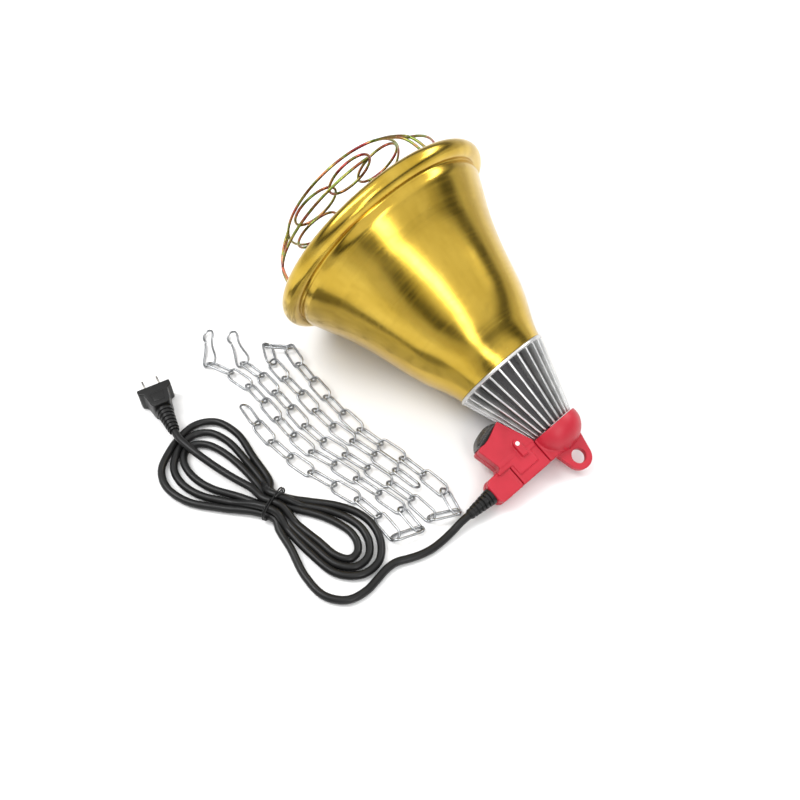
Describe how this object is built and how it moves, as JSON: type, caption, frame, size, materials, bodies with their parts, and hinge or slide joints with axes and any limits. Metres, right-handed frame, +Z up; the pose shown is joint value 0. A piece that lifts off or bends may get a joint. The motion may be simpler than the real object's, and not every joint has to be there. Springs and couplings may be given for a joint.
{
  "type": "heat lamp fixture",
  "caption": "Hanging brooder heat lamp: bell reflector with wire guard, finned collar, end housing with switch arm, wound cord with plug, and a loose hanging chain",
  "frame": {"origin": "Centre of the box round the lamp and its loose chain as they lie on the floor, at floor level; the cord, its hank and the plug are left out of that box", "axes": "+Z up from the floor; the lamp's axis lies in a plane of constant Y, its mouth towards -X and its hanging eyelet towards +X; the side arm, cord and chain lie towards -Y"},
  "size_m": [0.3372, 0.36, 0.1971],
  "materials": {
    "gold_sheet": "polished gold anodising",
    "cast_alloy": "satin as cast",
    "yellow_zinc": "yellow passivated zinc",
    "zinc_steel": "zinc plated",
    "zinc_wire": "bright zinc",
    "nickel": "nickel plated",
    "brass": "satin",
    "porcelain": "glazed",
    "red_plastic": "fine moulded texture",
    "black_plastic": "satin",
    "black_rubber": "matte",
    "clear_rubber": "translucent satin",
    "pale_plastic": "satin",
    "lead_brown": "satin",
    "lead_blue": "satin"
  },
  "bodies": {
    "fixture": {"reflector_bell": "gold_sheet", "clamp_ring": "zinc_steel", "clamp_screws": "zinc_steel", "finned_collar": "cast_alloy", "lamp_socket": "porcelain", "socket_shell": "brass", "centre_contact": "brass", "socket_terminals": "brass", "socket_bracket": "zinc_steel", "socket_screws": "zinc_steel", "rear_housing": "red_plastic", "housing_cover": "red_plastic", "clamp_cover": "red_plastic", "cover_screws": "zinc_steel", "switch_body": "black_plastic", "switch_seal": "clear_rubber", "switch_tabs": "brass", "terminal_block": "pale_plastic", "live_lead": "lead_brown", "neutral_lead": "lead_blue", "cord_clamp": "zinc_steel", "cord_clamp_screws": "zinc_steel", "strain_relief": "black_rubber", "cord_entry": "black_rubber", "supply_cord": "black_rubber", "cord_hank": "black_rubber", "hank_tie": "black_plastic", "plug_body": "black_rubber", "plug_blades": "nickel"},
    "guard": {"wire_guard": "yellow_zinc"},
    "rocker": {"switch_rocker": "black_plastic"},
    "chain": {"hanging_chain": "zinc_wire", "snap_clips": "zinc_wire"}
  },
  "joints": [
    {"name": "guard_pull", "type": "slide", "parent": "fixture", "child": "guard", "axis": [-0.9336, 0, 0.3584], "range_m": [0, 0.1]},
    {"name": "rocker_tip", "type": "hinge", "parent": "fixture", "child": "rocker", "pos_m": [0.09966, -0.01801, 0.02777], "axis": [0.3557, -0.1219, 0.9266], "range_deg": [0, 16]},
    {"name": "chain_draw", "type": "slide", "parent": "fixture", "child": "chain", "axis": [-1, 0, 0], "range_m": [0, 0.3]}
  ]
}
